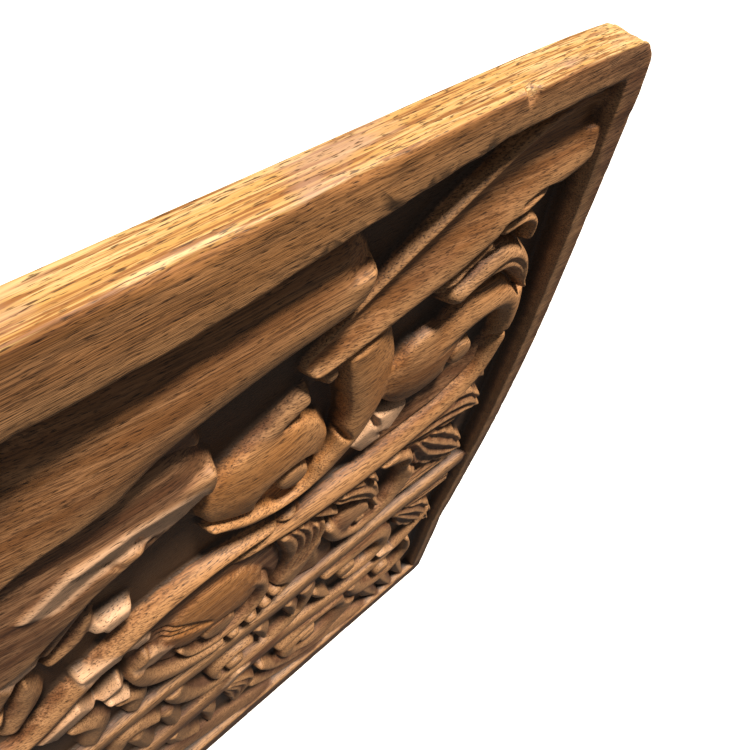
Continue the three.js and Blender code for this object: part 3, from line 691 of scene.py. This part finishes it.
bmesh.ops.recalc_face_normals(board, faces=board.faces)
board.to_mesh(panel_mesh)
board.free()
panel = bpy.data.objects.new("carved_panel_teak", panel_mesh)
bpy.context.scene.collection.objects.link(panel)
FINEST_FACES = 196000
thin = panel.modifiers.new("thin", "DECIMATE")
thin.ratio = FINEST_FACES / (2 * len(panel_mesh.polygons))
thinned = panel.evaluated_get(bpy.context.evaluated_depsgraph_get())
panel.data = bpy.data.meshes.new_from_object(thinned)
panel.modifiers.clear()
panel.data.shade_smooth()
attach(panel, "root")
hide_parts("carved_panel")


# ---------------------------------------------------------------------------------------------
# Teak, cut by gouge and left with a dry waxed surface: brown open-grained wood that is golden where
# it is rubbed, grey where it is dusty, and bare and yellow on the sawn edges. Painted light brightens
# the top rail and paints highlights on raised edges, and painted shade darkens hollows, gaps, the
# right stile and the lower parts.
# ---------------------------------------------------------------------------------------------
def linear(hex_colour):
    """A hex sRGB colour as linear light."""
    parts = [int(hex_colour[k:k + 2], 16) / 255 for k in (1, 3, 5)]
    return [*(c / 12.92 if c <= 0.04045 else ((c + 0.055) / 1.055) ** 2.4 for c in parts), 1.0]


teak = bpy.data.materials.new("aged_carved_teak_and_painted_light")
teak.use_nodes = True
tree = teak.node_tree
tree.nodes.clear()


def node(kind, settings=None, links=None):
    """Add a node to the teak, set its values and join its inputs."""
    made = tree.nodes.new(kind)
    for key, value in (settings or {}).items():
        if isinstance(key, str) and hasattr(made, key):
            setattr(made, key, value)
        else:
            made.inputs[key].default_value = value
    for key, source in (links or {}).items():
        tree.links.new(source, made.inputs[key])
    return made


wood_and_light_masks = {}
for name in ("tone_and_painted_light", "painted_cavity_shade", "rubbed_and_painted_highlight", "punched_and_shaded_ground", "fresh", "rim"):
    wood_and_light_masks[name] = node("ShaderNodeAttribute", {"attribute_name": name}).outputs["Fac"]

# The grain lies level. Each pattern is so many millimetres long, high and deep into the board.
MM = 1000.0
place_in_wood = node("ShaderNodeTexCoord").outputs["Object"]
grain = {}
for name, length, height, depth, detail, rough, start in (
    ("bands", 260, 9, 14, 4, 0.55, 0.0),
    ("streaks", 70, 1.8, 2.5, 4, 0.6, 3.0),
    ("lines", 40, 0.8, 1.2, 2, 0.5, 5.0),
    ("pores", 6, 0.5, 0.8, 2, 0.5, 7.0),
    ("patches", 70, 40, 30, 3, 0.55, 11.0),
    ("nap", 1.5, 1.5, 1.5, 2, 0.6, 17.0),
):
    stretched = node("ShaderNodeMapping", {
        "Scale": (MM / length, MM / depth, MM / height),
        "Location": (start, start * 1.7, start * 0.6),
    }, {"Vector": place_in_wood})
    grain[name] = node("ShaderNodeTexNoise", {"Scale": 1.0, "Detail": detail, "Roughness": rough},
                       {"Vector": stretched.outputs[0]}).outputs["Fac"]

# The numbered sockets of the nodes below: a map range, a colour mix and a sum.
DRIVER, START, END, MOST = 0, 1, 2, 4
SHARE, UNDER, OVER, LAID = 0, 6, 7, 2
FIRST, TIMES, PLUS = 0, 1, 2

# Colours are laid over each other: the share of each rises between two values of what drives it.
WOOD = (
    (grain["bands"], 0.42, 0.6, 1.0, "#b2825a"),
    (grain["streaks"], 0.45, 0.66, 0.85, "#5c3a1f"),
    (grain["patches"], 0.52, 0.74, 0.45, "#7d5c4a"),
    # Golden and dark greyed colour of the forms, with painted light and painted shade in it.
    (wood_and_light_masks["tone_and_painted_light"], 0.0, 1.0, 0.6, "#cc8844"),
    (wood_and_light_masks["tone_and_painted_light"], 0.0, -1.0, 0.85, "#5a4030"),
    # Raised edges: worn paler, with a painted highlight.
    (wood_and_light_masks["rubbed_and_painted_highlight"], 0.15, 0.9, 0.5, "#c89868"),
    (grain["lines"], 0.48, 0.64, 0.6, "#43291a"),
    # The punch-marked ground: partly its own dark brown, partly painted shade.
    (wood_and_light_masks["punched_and_shaded_ground"], 0.2, 0.8, 0.95, "#4a3829"),
    # Painted shade, near black, in hollows and gaps.
    (wood_and_light_masks["painted_cavity_shade"], 0.1, 0.62, 0.85, "#21130a"),
    (wood_and_light_masks["fresh"], 0.1, 0.7, 0.9, "#dcb08a"),
    (grain["pores"], 0.56, 0.68, 0.85, "#1f1208"),
)
SAWN_EDGE = (
    (grain["streaks"], 0.42, 0.6, 0.9, "#d8b880"),
    (grain["lines"], 0.48, 0.6, 0.95, "#8a5728"),
    (grain["patches"], 0.54, 0.64, 0.65, "#a88672"),
    (grain["bands"], 0.5, 0.66, 0.6, "#e2c082"),
    (grain["pores"], 0.56, 0.66, 0.9, "#4a2e14"),
)
finishes = []
for ground_colour, layers in (("#805434", WOOD), ("#bf9150", SAWN_EDGE)):
    colour = None
    for driver, start, end, share, tint in layers:
        amount = node("ShaderNodeMapRange", {START: start, END: end, MOST: share}, {DRIVER: driver})
        tints = {"data_type": "RGBA", UNDER: linear(ground_colour), OVER: linear(tint)}
        laid = node("ShaderNodeMix", tints,
                    {SHARE: amount.outputs[0], **({UNDER: colour} if colour else {})})
        colour = laid.outputs[LAID]
    finishes.append(colour)
whole = node("ShaderNodeMix", {"data_type": "RGBA"},
             {SHARE: wood_and_light_masks["rim"], UNDER: finishes[0], OVER: finishes[1]})

# The relief that is too fine to cut: raised grain, open pores and the nap left by the punch.
nap = node("ShaderNodeMath", {"operation": "MULTIPLY"}, {FIRST: grain["nap"], TIMES: wood_and_light_masks["punched_and_shaded_ground"]})
height = None
for driver, share in (
    (grain["streaks"], 0.5), (grain["lines"], 0.5), (grain["pores"], -0.9), (nap.outputs[0], 3.0),
):
    added = node("ShaderNodeMath", {"operation": "MULTIPLY_ADD", TIMES: share, PLUS: 0.0},
                 {FIRST: driver, **({PLUS: height} if height else {})})
    height = added.outputs[0]
bump = node("ShaderNodeBump", {"Strength": 0.5, "Distance": 0.0004}, {"Height": height})
surface = node("ShaderNodeBsdfPrincipled", {"Roughness": 0.55, "Specular IOR Level": 0.4}, {
    "Base Color": whole.outputs[LAID], "Normal": bump.outputs[0]})
node("ShaderNodeOutputMaterial", {}, {"Surface": surface.outputs[0]})
panel.data.materials.clear()
panel.data.materials.append(teak)


# ---------------------------------------------------------------------------------------------
# The room: a plain white floor, and the light of a high window that falls steeply along the
# carving, so that each form throws its shadow on the one below it.
# ---------------------------------------------------------------------------------------------
FLOOR_HALF = 8.0
floor_bm = bmesh.new()
bmesh.ops.create_grid(floor_bm, x_segments=1, y_segments=1, size=FLOOR_HALF)
bmesh.ops.translate(floor_bm, verts=floor_bm.verts, vec=(0, 0, low.z))
floor_mesh = bpy.data.meshes.new("floor")
floor_bm.to_mesh(floor_mesh)
floor_bm.free()
floor = bpy.data.objects.new("floor", floor_mesh)
floor.visible_diffuse = False
floor.visible_glossy = False
bpy.context.scene.collection.objects.link(floor)
paint = bpy.data.materials.new("white_floor_paint")
paint.use_nodes = True
paint.node_tree.nodes["Principled BSDF"].inputs["Base Color"].default_value = linear("#fafafa")
paint.node_tree.nodes["Principled BSDF"].inputs["Roughness"].default_value = 0.9
floor_mesh.materials.append(paint)

SKY = 0.13
world = bpy.data.worlds.new("studio")
world.use_nodes = True
world.node_tree.nodes["Background"].inputs[0].default_value = (1, 1, 1, 1)
world.node_tree.nodes["Background"].inputs[1].default_value = SKY
bpy.context.scene.world = world

FROM_WINDOW = (0.24, -0.175, 0.95)
window_light = bpy.data.lights.new("window", "SUN")
window_light.energy = 6.8
window_light.angle = math.radians(9)
window_light.color = linear("#fff5e8")[:3]
window = bpy.data.objects.new("window", window_light)
window.rotation_euler = Vector(FROM_WINDOW).to_track_quat("Z", "Y").to_euler()
bpy.context.scene.collection.objects.link(window)
bpy.context.scene.view_settings.view_transform = "Standard"
